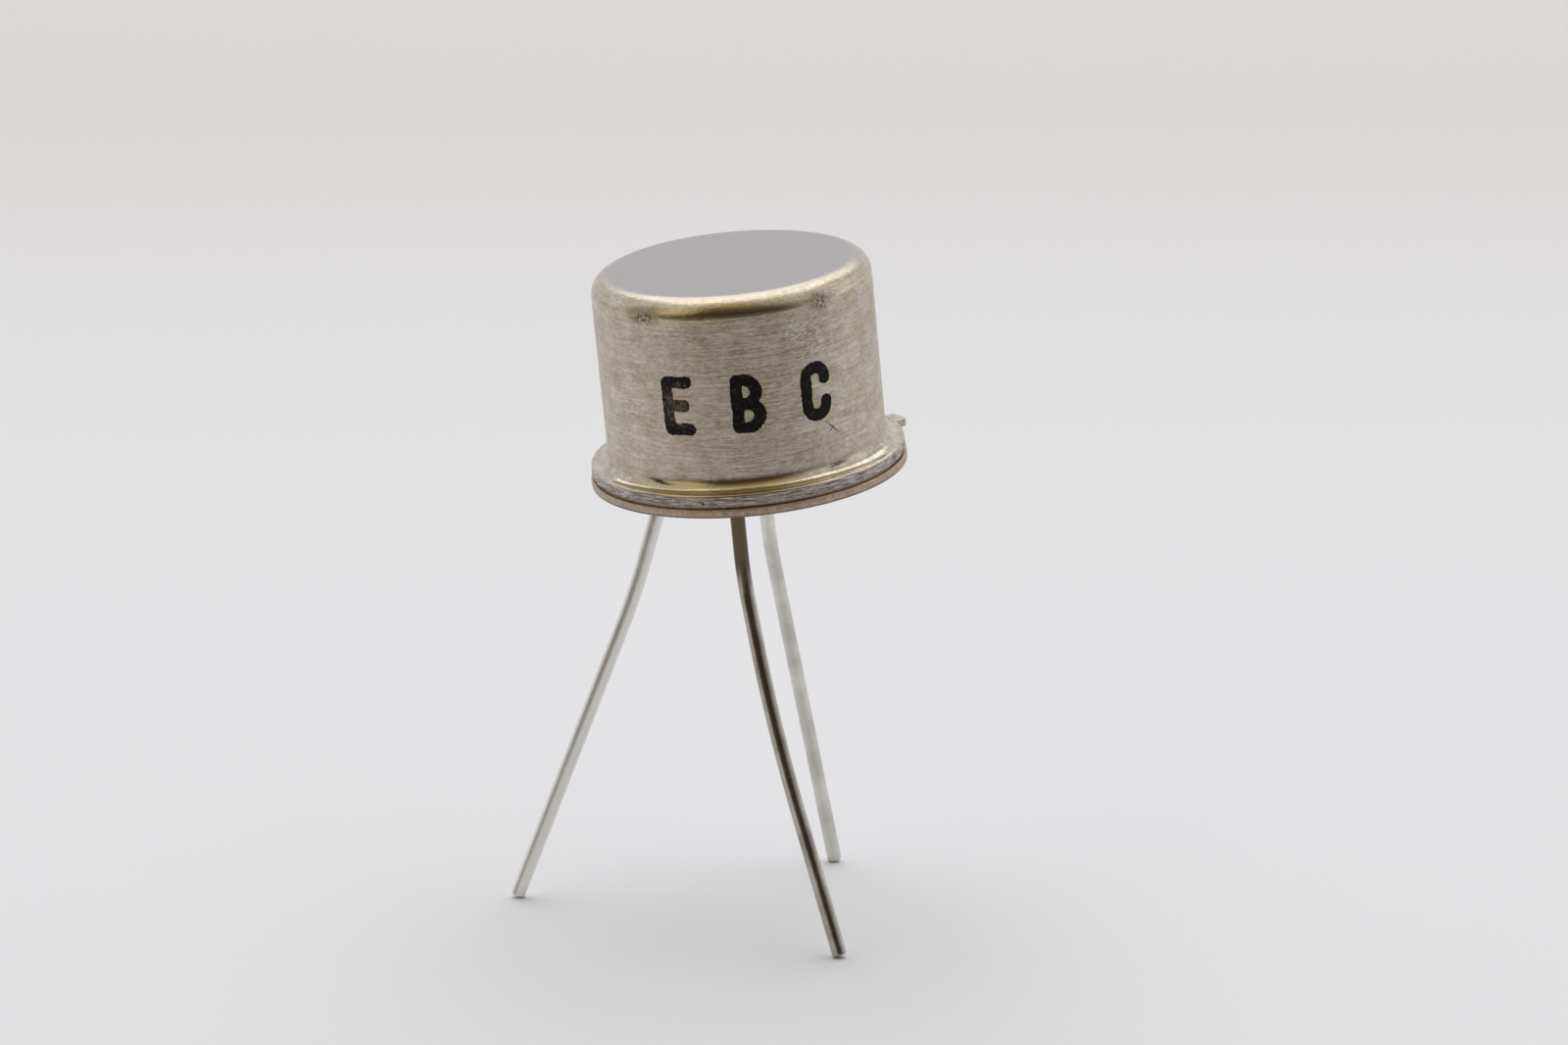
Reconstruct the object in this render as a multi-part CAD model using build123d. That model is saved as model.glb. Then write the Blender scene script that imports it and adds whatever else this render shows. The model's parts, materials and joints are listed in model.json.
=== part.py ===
from build123d import *
import os
from math import cos, radians, sin, sqrt, tan

# A small signal transistor in a round metal can, with three wire leads.
# All sizes are in millimetres. The can is drawn upright with its seating plane at height
# zero, then leaned over and stood on the tips of its three splayed leads.

# The cap, drawn from nickel sheet
cap_outer_d = 8.15
cap_sheet = 0.30
can_height = 6.25
cap_top_round = 0.58
cap_flange_width = 0.515
cap_flange_flat = 0.065
cap_flange_edge_round = 0.06

# The header, a coined disc with a raised platform that fills the mouth of the cap
rim_proud_of_cap = 0.04
rim_thickness = 0.25
rim_edge_bevel = 0.03
platform_height = 1.45
platform_clearance = 0.10

# The ridge on the header that melts into the cap's flange when the can is welded shut
weld_ridge_height = 0.12
weld_ridge_width = 0.14
weld_ridge_inset = 0.11

# The index tab on the header's rim
tab_width = 0.74
tab_length = 0.92
tab_corner_round = 0.12
tab_angle = 45

# The leads, their places on the header and the glass that insulates two of them
lead_d = 0.43
emitter_angle = 90
base_angle = 180
collector_angle = 270
seal_d = 1.50
seal_land = 0.385
seal_recess = 0.06
post_height = 0.85
post_head_d = 0.78
post_head_thickness = 0.14
post_head_bevel = 0.04
collector_weld_collar = 0.13
tip_bevel = 0.05

# The chip, its solder and its two bond wires
die_side = 1.40
die_thickness = 0.22
solder_margin = 0.09
solder_thickness = 0.03
bond_wire_d = 0.10
bond_foot_length = 0.30
bond_foot_width = 0.16
bond_foot_thickness = 0.06
bond_pad_offset = 0.36
bond_loop_height = 0.45
bond_loop_run = 0.40

# How the can is held up by its leads
stand_height = 13.26
lean_left = 5.25
lean_forward = 2.83
spin = -9.0

# Each bent lead: straight stub under the header, where its foot stands in plan, how far
# along the second bend comes, how far that bend bows sideways, and the two bend radii
emitter_route = dict(stub=0.34, foot=(2.56, 3.49), bend_at=0.15, bow=-0.326, bends=(3.0, 16.0))
base_route = dict(stub=0.34, foot=(-6.99, 0.13), bend_at=0.26, bow=0.268, bends=(1.6, 21.5))
collector_route = dict(stub=2.40, foot=(2.64, -5.21), bend_at=0.39, bow=-0.253, bends=(4.5, 60.0))

# Share of the middle run that the first bend of a lead may use
first_bend_share = 0.2

# Sizes that follow from the ones above
cap_r = cap_outer_d / 2
bore_r = cap_r - cap_sheet
cap_flange_r = cap_r + cap_flange_width
rim_r = cap_flange_r + rim_proud_of_cap
platform_r = bore_r - platform_clearance
cap_foot_z = rim_thickness + weld_ridge_height
cap_flange_top_z = cap_foot_z + cap_sheet
lead_r = lead_d / 2
seal_r = seal_d / 2

# The wall runs out into the flange in one round, which leaves a narrow flat before the edge
cap_root_round = cap_flange_width - cap_flange_flat - cap_flange_edge_round

# A land of metal is left between each seal and the platform's edge, so the platform sets
# the circle that the leads stand on
pitch_circle_d = 2 * (platform_r - seal_land - seal_r)
pitch_r = pitch_circle_d / 2

# Length of a bevel that just touches a round of radius one drawn in the same corner
bevel_for_round = 2 - sqrt(2)

# Two sizes that differ by less than this are the same
size_error = 1e-6

post_top_z = platform_height + post_height
die_top_z = platform_height + solder_thickness + die_thickness

can_pose = Pos(0, 0, stand_height) * Rot(lean_forward, -lean_left, spin)


def on_pitch_circle(angle, z=0.0):
    """A point on the pitch circle, in the upright can."""
    return Vector(pitch_r * cos(radians(angle)), pitch_r * sin(radians(angle)), z)


def turned(corners):
    """A solid of revolution about the can's axis, from corners of (radius, height, round)."""
    points = [(r, z) for r, z, _ in corners]
    rounds = [fillet_r for _, _, fillet_r in corners]
    outline = FilletPolyline(*points, radius=rounds, close=True)
    return revolve(make_face(Plane.XZ * outline), Axis.Z)


def circles(solid, radius, height):
    """The circular edges of a turned solid at one radius and one height."""
    found = []
    for edge in solid.edges().filter_by(GeomType.CIRCLE):
        off = abs(edge.radius - radius) + abs(edge.arc_center.Z - height)
        if off < size_error:
            found.append(edge)
    return found


def make_cap():
    """One drawn shell: flat top, straight wall and an outward flange with a sheared rim."""
    top_inner_z = can_height - cap_sheet
    corners = [
        (0, can_height, 0),
        (cap_r, can_height, cap_top_round),
        (cap_r, cap_flange_top_z, cap_root_round),
        (cap_flange_r, cap_flange_top_z, cap_flange_edge_round),
        (cap_flange_r, cap_foot_z, 0),
        (bore_r, cap_foot_z, 0),
        (bore_r, top_inner_z, 0),
        (0, top_inner_z, 0),
    ]
    shell = turned(corners)
    # Inside, where nobody looks, bevels stand for the rounds of the drawn sheet
    mouth_bevel = bevel_for_round * (cap_root_round + cap_sheet)
    shell = chamfer(circles(shell, bore_r, cap_foot_z), mouth_bevel)
    crown_bevel = bevel_for_round * (cap_top_round - cap_sheet)
    return chamfer(circles(shell, bore_r, top_inner_z), crown_bevel)


def make_header():
    """The base disc with its weld ridge, platform, index tab and two bored seal holes."""
    ridge_outer_r = cap_flange_r - weld_ridge_inset
    ridge_inner_r = ridge_outer_r - weld_ridge_width
    corners = [
        (0, 0, 0),
        (rim_r, 0, 0),
        (rim_r, rim_thickness, 0),
        (ridge_outer_r, rim_thickness, 0),
        (ridge_outer_r, cap_foot_z, 0),
        (ridge_inner_r, cap_foot_z, 0),
        (ridge_inner_r, rim_thickness, 0),
        (platform_r, rim_thickness, 0),
        (platform_r, platform_height, 0),
        (0, platform_height, 0),
    ]
    disc = turned(corners)
    rim_edges = circles(disc, rim_r, 0) + circles(disc, rim_r, rim_thickness)
    disc = chamfer(rim_edges, rim_edge_bevel)

    tab_reach = rim_r + tab_length
    tab_blank = Pos(tab_reach / 2, 0, rim_thickness / 2) * Box(tab_reach, tab_width, rim_thickness)
    tab_corners = tab_blank.edges().filter_by(Axis.Z).sort_by(Axis.X)[-2:]
    tab = fillet(tab_corners, tab_corner_round)
    # The blank starts well inside the rim, so only its tongue shows outside the disc
    tab -= Cylinder(rim_r - rim_thickness, can_height)
    header = disc + Rot(0, 0, tab_angle) * tab
    for angle in (emitter_angle, base_angle):
        header -= Pos(on_pitch_circle(angle, platform_height / 2)) * Cylinder(seal_r, platform_height)
    return header


def make_seal(angle):
    """A glass bead fused round a lead, its two ends drawn into a shallow ring-shaped dip."""
    mid_r = (lead_r + seal_r) / 2
    under = ThreePointArc((lead_r, 0), (mid_r, seal_recess), (seal_r, 0))
    outside = Line((seal_r, 0), (seal_r, platform_height))
    over = ThreePointArc(
        (seal_r, platform_height),
        (mid_r, platform_height - seal_recess),
        (lead_r, platform_height),
    )
    inside = Line((lead_r, platform_height), (lead_r, 0))
    section = Plane.XZ * make_face(Curve() + [under, outside, over, inside])
    return Pos(on_pitch_circle(angle)) * revolve(section, Axis.Z)


def bend_radius(wanted, before, corner, after, room_before, room_after):
    """The wanted bend, or the largest one that the straight runs beside it have room for."""
    turn = radians((corner - before).get_angle(after - corner))
    return min(wanted, min(room_before, room_after) / tan(turn / 2))


def lead_wire(angle, top_z, route):
    """A round wire from a height in the can, through two bends, to a foot on the ground."""
    foot_x, foot_y = route["foot"]
    top = (can_pose * Pos(on_pitch_circle(angle, top_z))).position
    first = (can_pose * Pos(on_pitch_circle(angle, -route["stub"]))).position
    ground = Vector(foot_x, foot_y, 0)
    second = first + (ground - first) * route["bend_at"] + Vector(route["bow"], 0, 0)

    # The cut end is square to the wire, and the lowest point of its bevelled rim is on the ground
    down = (ground - second).normalized()
    steepness = -down.Z
    slant = sqrt(1 - steepness**2)
    lift = max((lead_r - tip_bevel) * slant, lead_r * slant - tip_bevel * steepness)
    tip = ground - down * (lift / steepness)

    middle_run = (second - first).length
    last_run = (tip - second).length
    first_room = middle_run * first_bend_share
    second_room = middle_run - first_room
    bends = [
        bend_radius(route["bends"][0], top, first, second, route["stub"], first_room),
        bend_radius(route["bends"][1], first, second, tip, second_room, last_run / 2),
    ]
    path = FilletPolyline(top, first, second, tip, radius=bends)
    wire = sweep(Plane(path @ 0, z_dir=path % 0) * Circle(lead_r), path)
    return chamfer(wire.edges().group_by(Axis.Z)[0], tip_bevel)


def make_insulated_lead(angle, route):
    """A lead through a glass seal, its inner end upset to a flat head for the bond wire."""
    head_blank = Cylinder(post_head_d / 2, post_head_thickness)
    head = chamfer(head_blank.edges().filter_by(GeomType.CIRCLE), post_head_bevel)
    head_centre = on_pitch_circle(angle, post_top_z - post_head_thickness / 2)
    return lead_wire(angle, post_top_z, route) + can_pose * Pos(head_centre) * head


def make_collector_lead(route):
    """A lead butt-welded to the header's underside, with a small collar of squeezed metal."""
    collar = Cone(lead_r, lead_r + collector_weld_collar, collector_weld_collar)
    collar_centre = on_pitch_circle(collector_angle, -collector_weld_collar / 2)
    return lead_wire(collector_angle, 0.0, route) + can_pose * Pos(collar_centre) * collar


def make_solder():
    """The thin pad of gold solder under the chip."""
    side = die_side + 2 * solder_margin
    return Pos(0, 0, platform_height + solder_thickness / 2) * Box(side, side, solder_thickness)


def make_die():
    """The sawn silicon chip."""
    return Pos(0, 0, die_top_z - die_thickness / 2) * Box(die_side, die_side, die_thickness)


def make_bond_foot(reach, z):
    """The flattened end of a bond wire, pressed on a surface at height z."""
    foot = Box(bond_foot_length, bond_foot_width, bond_foot_thickness)
    return Pos(reach, 0, z + bond_foot_thickness / 2) * foot


def make_bond_wire(angle):
    """A looped wire from the head of a post to a pad on the chip."""
    post_foot_z = post_top_z + bond_foot_thickness
    die_foot_z = die_top_z + bond_foot_thickness
    points = [
        (pitch_r, 0, post_foot_z),
        (pitch_r - bond_loop_run, 0, post_foot_z + bond_loop_height),
        (bond_pad_offset + bond_loop_run, 0, die_foot_z + bond_loop_height),
        (bond_pad_offset, 0, die_foot_z),
    ]
    path = Polyline(*points)
    section = Plane(path @ 0, z_dir=path % 0) * Circle(bond_wire_d / 2)
    wire = sweep(section, path, transition=Transition.RIGHT)
    wire += make_bond_foot(pitch_r, post_top_z)
    wire += make_bond_foot(bond_pad_offset, die_top_z)
    return Rot(0, 0, angle) * wire


# Pieces drawn in the upright can are leaned over with it. Leads already stand on the ground.
in_can = {
    "cap": make_cap(),
    "header": make_header(),
    "emitter_seal": make_seal(emitter_angle),
    "base_seal": make_seal(base_angle),
    "die": make_die(),
    "die_solder": make_solder(),
    "emitter_bond_wire": make_bond_wire(emitter_angle),
    "base_bond_wire": make_bond_wire(base_angle),
}
pieces = {name: can_pose * piece for name, piece in in_can.items()}
pieces["emitter_lead"] = make_insulated_lead(emitter_angle, emitter_route)
pieces["base_lead"] = make_insulated_lead(base_angle, base_route)
pieces["collector_lead"] = make_collector_lead(collector_route)

# The origin is on the ground, under the middle of the whole part
footprint = Compound(children=[Part() + piece for piece in pieces.values()]).bounding_box()
to_origin = Pos(-footprint.center().X, -footprint.center().Y, 0)

os.makedirs("parts", exist_ok=True)
for name, piece in pieces.items():
    export_step(to_origin * piece, f"parts/{name}.step")
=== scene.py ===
import json
from math import cos, radians, sin, sqrt, tan

import bmesh
import bpy
from mathutils import Matrix, Vector


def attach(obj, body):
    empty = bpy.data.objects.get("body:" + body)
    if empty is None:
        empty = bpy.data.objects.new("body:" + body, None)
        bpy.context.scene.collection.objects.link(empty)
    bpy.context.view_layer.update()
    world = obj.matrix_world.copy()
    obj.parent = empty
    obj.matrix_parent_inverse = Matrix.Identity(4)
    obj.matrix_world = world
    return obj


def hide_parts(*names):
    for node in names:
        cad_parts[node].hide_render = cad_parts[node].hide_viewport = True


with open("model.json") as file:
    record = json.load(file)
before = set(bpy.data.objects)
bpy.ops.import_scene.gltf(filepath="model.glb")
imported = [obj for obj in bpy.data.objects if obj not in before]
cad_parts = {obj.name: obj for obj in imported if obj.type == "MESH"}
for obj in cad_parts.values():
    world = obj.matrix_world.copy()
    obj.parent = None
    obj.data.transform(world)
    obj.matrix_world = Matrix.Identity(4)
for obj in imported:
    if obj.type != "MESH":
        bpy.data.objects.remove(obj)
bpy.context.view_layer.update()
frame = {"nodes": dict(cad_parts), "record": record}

# The header is a coined steel disc with a raised platform, an index tab and two bored holes for
# the glass seals. It is nickel plated, its rim is welded to the cap's flange, and the heat of
# sealing left brown stains on its underside.
mm = 0.001
mounts = {mount["name"]: mount for mount in frame["record"]["mounts"]}
seat = Vector(mounts["seating_plane"]["pos_m"])
can_up = -Vector(mounts["seating_plane"]["axis"]).normalized()
tab_out = Vector(mounts["index_tab"]["axis"]).normalized()
tab_angle = radians(45)
can_x = Matrix.Rotation(-tab_angle, 3, can_up) @ tab_out
can_turn = Matrix((can_x, can_up.cross(can_x), can_up)).transposed()
can_place = Matrix.Translation(seat) @ can_turn.to_4x4() @ Matrix.Scale(mm, 4)
cap_r = mounts["cap_barrel"]["dims"]["r_mm"]
can_height = (Vector(mounts["cap_top"]["pos_m"]) - seat).length / mm
cap_sheet = 0.30
bore_r = cap_r - cap_sheet
cap_flange_width = 0.515
cap_flange_r = cap_r + cap_flange_width
cap_foot_z = 0.37
rim_proud = 0.04
rim_r = cap_flange_r + rim_proud
rim_thickness = 0.25
rim_edge_round = 0.05
weld_ridge_inset = 0.11
weld_ridge_width = 0.14
ridge_outer_r = cap_flange_r - weld_ridge_inset
ridge_inner_r = ridge_outer_r - weld_ridge_width
platform_gap = 0.10
platform_r = bore_r - platform_gap
platform_height = 1.45
pitch_r = 2.54
seal_r = 0.75
seal_land = 0.2
seal_segments = 96
drill_overrun = 1
emitter_angle = 90
base_angle = 180
collector_angle = 270
tab_width = 0.74
tab_reach = rim_r + 0.92
tab_root = rim_r - 0.35
tab_corner_round = 0.12
tab_corner_steps = 8
tab_edge_round = 0.035
tab_edge_steps = 3
carrier_r = 1.0
turned_segments = 384
merge_distance = 1e-4
soft_edge = radians(30)
tears_per_mm = (4, 4, 14)
stain_middle = (-0.55, 0.35, 0)
stain_squash = (0.85, 1.15, 1)
stain_waver = 0.5
heat_from_r = 4.05
heat_to_r = 4.6
tab_clean_r = rim_r + 0.15
tab_stained_r = rim_r + 0.05
dark_edge_top_z = 0.09
dark_edge_full_z = 0.02


def add_node(tree, kind, inputs=(), **settings):
    """A node with its fields set, and its sockets given values, links or other nodes' outputs."""
    node = tree.nodes.new(kind)
    for name, value in settings.items():
        setattr(node, name, value)
    for key, value in dict(inputs).items():
        named = [s for s in node.inputs if s.enabled and s.name == key]
        socket = named[0] if named else node.inputs[key]
        if isinstance(value, bpy.types.Node):
            value = next(s for s in value.outputs if s.enabled)
        if isinstance(value, bpy.types.NodeSocket):
            tree.links.new(value, socket)
        else:
            socket.default_value = value
    return node


def linear(hex_colour):
    """An sRGB hex colour as the linear values that a shader takes."""
    shares = [int(hex_colour[i:i + 2], 16) / 255 for i in (1, 3, 5)]
    bent = [s / 12.92 if s <= 0.04045 else ((s + 0.055) / 1.055) ** 2.4 for s in shares]
    return (*bent, 1.0)


def new_material(name):
    """An empty material and its node tree."""
    material = bpy.data.materials.new(name)
    material.use_nodes = True
    material.node_tree.nodes.clear()
    return material, material.node_tree


def tinted(tree, colour, *tints):
    """A colour with tints laid over it in turn, each given as its mask and its hex colour."""
    for mask, tint in tints:
        layer = {"Factor": mask, "A": colour, "B": linear(tint)}
        colour = add_node(tree, "ShaderNodeMix", layer, data_type="RGBA")
    return colour


def end_material(tree, surface, *reliefs):
    """Ends a material in one surface, under reliefs of a height, a strength and a depth in mm."""
    for height, strength, depth in reliefs:
        bump = {"Height": height, "Strength": strength, "Distance": depth * mm}
        if "Normal" in surface:
            bump["Normal"] = surface["Normal"]
        surface["Normal"] = add_node(tree, "ShaderNodeBump", bump)
    shader = add_node(tree, "ShaderNodeBsdfPrincipled", surface)
    add_node(tree, "ShaderNodeOutputMaterial", {"Surface": shader})


def can_millimetres(tree, stretch=(1, 1, 1)):
    """Places in the upright can in millimetres, from its seat, each way divided by a stretch."""
    place = add_node(tree, "ShaderNodeTexCoord").outputs["Object"]
    scale = [mm * factor for factor in stretch]
    upright = {"Vector": place, "Location": seat, "Rotation": can_turn.to_euler(), "Scale": scale}
    return add_node(tree, "ShaderNodeMapping", upright, vector_type="TEXTURE")


def reach_from(tree, place, middle=(0, 0, 0), shares=(1, 1, 0)):
    """How far a place lies from a middle, level unless the shares of x, y and z say otherwise."""
    moved = add_node(tree, "ShaderNodeVectorMath", {0: place, 1: middle}, operation="SUBTRACT")
    oval = add_node(tree, "ShaderNodeVectorMath", {0: moved, 1: shares}, operation="MULTIPLY")
    return add_node(tree, "ShaderNodeVectorMath", {0: oval}, operation="LENGTH").outputs["Value"]


def placed(name, data):
    """An object in the scene that holds a mesh, a light or a camera."""
    piece = bpy.data.objects.new(name, data)
    bpy.context.scene.collection.objects.link(piece)
    return piece


def wire_object(name, points, closed=False, starts=(), **attributes):
    """Chains of bare edges, with a number for each point in each named attribute."""
    mesh = bpy.data.meshes.new(name)
    edges = [(i, i + 1) for i in range(len(points) - 1) if i + 1 not in starts]
    if closed:
        edges.append((len(points) - 1, 0))
    mesh.from_pydata(points, edges, [])
    for key, values in attributes.items():
        mesh.attributes.new(key, "FLOAT", "POINT").data.foreach_set("value", values)
    return placed(name, mesh)


def made_plain(piece):
    """The piece's modifiers turned into a plain mesh, shaded smooth between its sharp edges."""
    graph = bpy.context.evaluated_depsgraph_get()
    mesh = bpy.data.meshes.new_from_object(piece.evaluated_get(graph))
    piece.modifiers.clear()
    mesh.name = piece.name
    piece.data = mesh
    mesh.shade_smooth()
    mesh.set_sharp_from_angle(angle=soft_edge)
    return piece


def grown(piece, tree, **sizes):
    """What a Geometry Nodes tree grows on a piece, with the tree's named inputs set."""
    modifier = piece.modifiers.new("growth", "NODES")
    modifier.node_group = tree
    for socket in tree.interface.items_tree:
        if socket.in_out == "INPUT" and socket.name in sizes:
            modifier[socket.identifier] = sizes[socket.name]
    return made_plain(piece)


def new_tree(name, **sockets):
    """A Geometry Nodes tree with named inputs, and its group input and output nodes."""
    tree = bpy.data.node_groups.new(name, "GeometryNodeTree")
    tree.interface.new_socket("Geometry", in_out="INPUT", socket_type="NodeSocketGeometry")
    for socket_name, kind in sockets.items():
        tree.interface.new_socket(socket_name, in_out="INPUT", socket_type="NodeSocket" + kind)
    tree.interface.new_socket("Geometry", in_out="OUTPUT", socket_type="NodeSocketGeometry")
    return tree, add_node(tree, "NodeGroupInput"), add_node(tree, "NodeGroupOutput")


def rounded_curve(tree, source, steps):
    """The chains of edges that a tree is given, as curves with each corner rounded in steps."""
    corners = add_node(tree, "GeometryNodeMeshToCurve", {"Mesh": source.outputs["Geometry"]})
    rounds = add_node(tree, "GeometryNodeInputNamedAttribute", {"Name": "round"}, data_type="FLOAT")
    fillet = {"Curve": corners, "Count": steps, "Radius": rounds}
    return add_node(tree, "GeometryNodeFilletCurve", fillet, mode="POLY")


def end_tree(tree, mesh, source, output):
    """Ends a tree in real geometry with its material."""
    real = add_node(tree, "GeometryNodeRealizeInstances", {"Geometry": mesh})
    painted = {"Geometry": real, "Material": source.outputs["Material"]}
    done = add_node(tree, "GeometryNodeSetMaterial", painted)
    tree.links.new(done.outputs[0], output.inputs[0])


def turned_tree():
    """A turned solid: corners of a half section, rounded and swept once about the axis."""
    sockets = {"Segments": "Int", "Steps": "Int", "Carrier": "Float", "Material": "Material"}
    tree, source, output = new_tree("turned_solid", **sockets)
    section = rounded_curve(tree, source, source.outputs["Steps"])
    circle = {"Resolution": source.outputs["Segments"], "Radius": source.outputs["Carrier"]}
    rail = add_node(tree, "GeometryNodeCurvePrimitiveCircle", circle).outputs["Curve"]
    swept = add_node(tree, "GeometryNodeCurveToMesh", {"Curve": rail, "Profile Curve": section})
    seam = {"Geometry": swept, "Distance": merge_distance}
    closed = add_node(tree, "GeometryNodeMergeByDistance", seam)

    # Rows with a ragged depth are pushed about by it, as where a shear tore the metal
    depth = add_node(tree, "GeometryNodeInputNamedAttribute", {"Name": "ragged"}, data_type="FLOAT")
    finely = {0: add_node(tree, "GeometryNodeInputPosition"), 1: tears_per_mm}
    tear_place = add_node(tree, "ShaderNodeVectorMath", finely, operation="MULTIPLY")
    tearing = {"Vector": tear_place, "Scale": 1, "Detail": 4, "Roughness": 0.7}
    tears = add_node(tree, "ShaderNodeTexNoise", tearing)
    evenly = {0: tears.outputs["Color"], 1: (0.5, 0.5, 0.5)}
    push = add_node(tree, "ShaderNodeVectorMath", evenly, operation="SUBTRACT")
    pushed = add_node(tree, "ShaderNodeVectorMath", {0: push, "Scale": depth}, operation="SCALE")
    torn = add_node(tree, "GeometryNodeSetPosition", {"Geometry": closed, "Offset": pushed})
    end_tree(tree, torn, source, output)
    return tree


turned_solid = turned_tree()


def turned(name, corners, material, centre=(0, 0), steps=10, segments=turned_segments):
    """A turned piece in the upright can, from corners of (radius, height, round, ragged) in mm."""
    points = [(corner[0] - carrier_r, -corner[1], 0) for corner in corners]
    rounds = [corner[2] for corner in corners]
    ragged = [corner[3] if len(corner) > 3 else 0 for corner in corners]
    piece = wire_object(name, points, round=rounds, ragged=ragged)
    grown(piece, turned_solid, Segments=segments, Steps=steps, Carrier=carrier_r, Material=material)
    piece.data.transform(Matrix.Translation((*centre, 0)))
    return piece


def seal_centre(angle):
    """Where a lead stands on the header, in the upright can."""
    return pitch_r * cos(radians(angle)), pitch_r * sin(radians(angle))


def plated_steel():
    """Satin nickel plate on steel. It gives soft grey reflections, brown heat stains and fine grit."""
    material, tree = new_material("satin_nickel_plate")
    place = can_millimetres(tree)
    radius = reach_from(tree, place)
    height = add_node(tree, "ShaderNodeSeparateXYZ", {"Vector": place}).outputs["Z"]
    clouds = {"Vector": place, "Scale": 0.9, "Detail": 6, "Roughness": 0.6}
    cloud = add_node(tree, "ShaderNodeTexNoise", clouds)
    cloudy = {"Value": cloud, "From Min": 0.42, "From Max": 0.70, "To Max": 0.75}
    tarnish = add_node(tree, "ShaderNodeMapRange", cloudy)
    colour = tinted(tree, linear("#CCC4B8"), (tarnish, "#A89882"))

    # An oval brown stain lies near the middle, between the two seals
    reach = reach_from(tree, place, stain_middle, stain_squash)
    wavy = add_node(tree, "ShaderNodeTexNoise", {"Vector": place, "Scale": 2.2, "Detail": 3})
    wavering = {0: wavy, 1: stain_waver, 2: reach}
    ragged = add_node(tree, "ShaderNodeMath", wavering, operation="MULTIPLY_ADD")
    spread = {"Value": ragged, "From Min": 1.25, "From Max": 1.12, "To Max": 0.8}
    stain = add_node(tree, "ShaderNodeMapRange", spread)

    # Handling and the weld's heat browned the outermost half millimetre, but not the tab
    heated = {"Value": radius, "From Min": heat_from_r, "From Max": heat_to_r, "To Max": 0.7}
    edge = add_node(tree, "ShaderNodeMapRange", heated)
    before_tab = {"Value": radius, "From Min": tab_clean_r, "From Max": tab_stained_r}
    off_tab = add_node(tree, "ShaderNodeMapRange", before_tab)
    edge = add_node(tree, "ShaderNodeMath", {0: edge, 1: off_tab}, operation="MULTIPLY")

    # The colour darkens towards the rim's lower edge
    towards_bottom = {"Value": height, "From Min": dark_edge_top_z, "From Max": dark_edge_full_z, "To Max": 0.85}
    low = add_node(tree, "ShaderNodeMapRange", towards_bottom)
    outermost = {"Value": radius, "From Min": rim_r - 0.12, "From Max": rim_r - 0.03}
    at_rim = add_node(tree, "ShaderNodeMapRange", outermost)
    low_edge = add_node(tree, "ShaderNodeMath", {0: low, 1: at_rim}, operation="MULTIPLY")
    low_edge = add_node(tree, "ShaderNodeMath", {0: low_edge, 1: off_tab}, operation="MULTIPLY")
    colour = tinted(tree, colour, (stain, "#7E6A50"), (edge, "#AF9A83"), (low_edge, "#4E4236"))

    # A fine grit shades the plate, and roughens it
    grits = {"Vector": place, "Scale": 9, "Detail": 5, "Roughness": 0.65}
    grit = add_node(tree, "ShaderNodeTexNoise", grits)
    gritty = {"Value": grit, "From Min": 0.36, "From Max": 0.64, "To Min": 0.72, "To Max": 1.14}
    grit_shade = add_node(tree, "ShaderNodeMapRange", gritty)
    colour = add_node(tree, "ShaderNodeVectorMath", {0: colour, "Scale": grit_shade}, operation="SCALE")
    rough = add_node(tree, "ShaderNodeMapRange", {"Value": grit, "To Min": 0.30, "To Max": 0.50})
    surface = {"Base Color": colour, "Metallic": 1.0, "Roughness": rough}
    end_material(tree, surface, (grit, 0.6, 0.02))
    return material


header_finish = plated_steel()
header = turned("header_plate", [
    (0, 0, 0),
    (pitch_r + seal_r + seal_land, 0, 0),
    (rim_r - 2 * rim_edge_round, 0, 0),
    (rim_r, 0, rim_edge_round),
    (rim_r, rim_thickness, rim_edge_round),
    (ridge_outer_r, rim_thickness, 0),
    (ridge_outer_r, cap_foot_z, 0),
    (ridge_inner_r, cap_foot_z, 0),
    (ridge_inner_r, rim_thickness, 0),
    (platform_r, rim_thickness, 0),
    (platform_r, platform_height, 0),
    (0, platform_height, 0),
], header_finish)


def thickened(tree, sheet, thickness):
    """A closed solid grown up from a flat sheet."""
    raised = {"Mesh": sheet, "Offset Scale": thickness, "Individual": False}
    top = add_node(tree, "GeometryNodeExtrudeMesh", raised)
    under = add_node(tree, "GeometryNodeFlipFaces", {"Mesh": sheet})
    both = add_node(tree, "GeometryNodeJoinGeometry")
    tree.links.new(top.outputs["Mesh"], both.inputs[0])
    tree.links.new(under.outputs["Mesh"], both.inputs[0])
    seam = {"Geometry": both, "Distance": merge_distance}
    return add_node(tree, "GeometryNodeMergeByDistance", seam)


def tongue_tree():
    """A flat tongue: a rounded outline filled and given its thickness."""
    tree, source, output = new_tree("stamped_tongue", Thickness="Float", Material="Material")
    outline = rounded_curve(tree, source, tab_corner_steps)
    sheet = add_node(tree, "GeometryNodeFillCurve", {"Curve": outline}, mode="NGONS")
    end_tree(tree, thickened(tree, sheet, source.outputs["Thickness"]), source, output)
    return tree


tab_corners = [
    (tab_root, -tab_width / 2, 0),
    (tab_reach, -tab_width / 2, 0),
    (tab_reach, tab_width / 2, 0),
    (tab_root, tab_width / 2, 0),
]
tab_rounds = [0, tab_corner_round, tab_corner_round, 0]
tab = wire_object("index_tab", tab_corners, closed=True, round=tab_rounds)
grown(tab, tongue_tree(), Thickness=rim_thickness, Material=header_finish)
soft = tab.modifiers.new("stamped_edges", "BEVEL")
soft.width = tab_edge_round
soft.segments = tab_edge_steps
soft.limit_method = "ANGLE"
made_plain(tab)
tab.data.transform(Matrix.Rotation(tab_angle, 4, "Z"))

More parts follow.
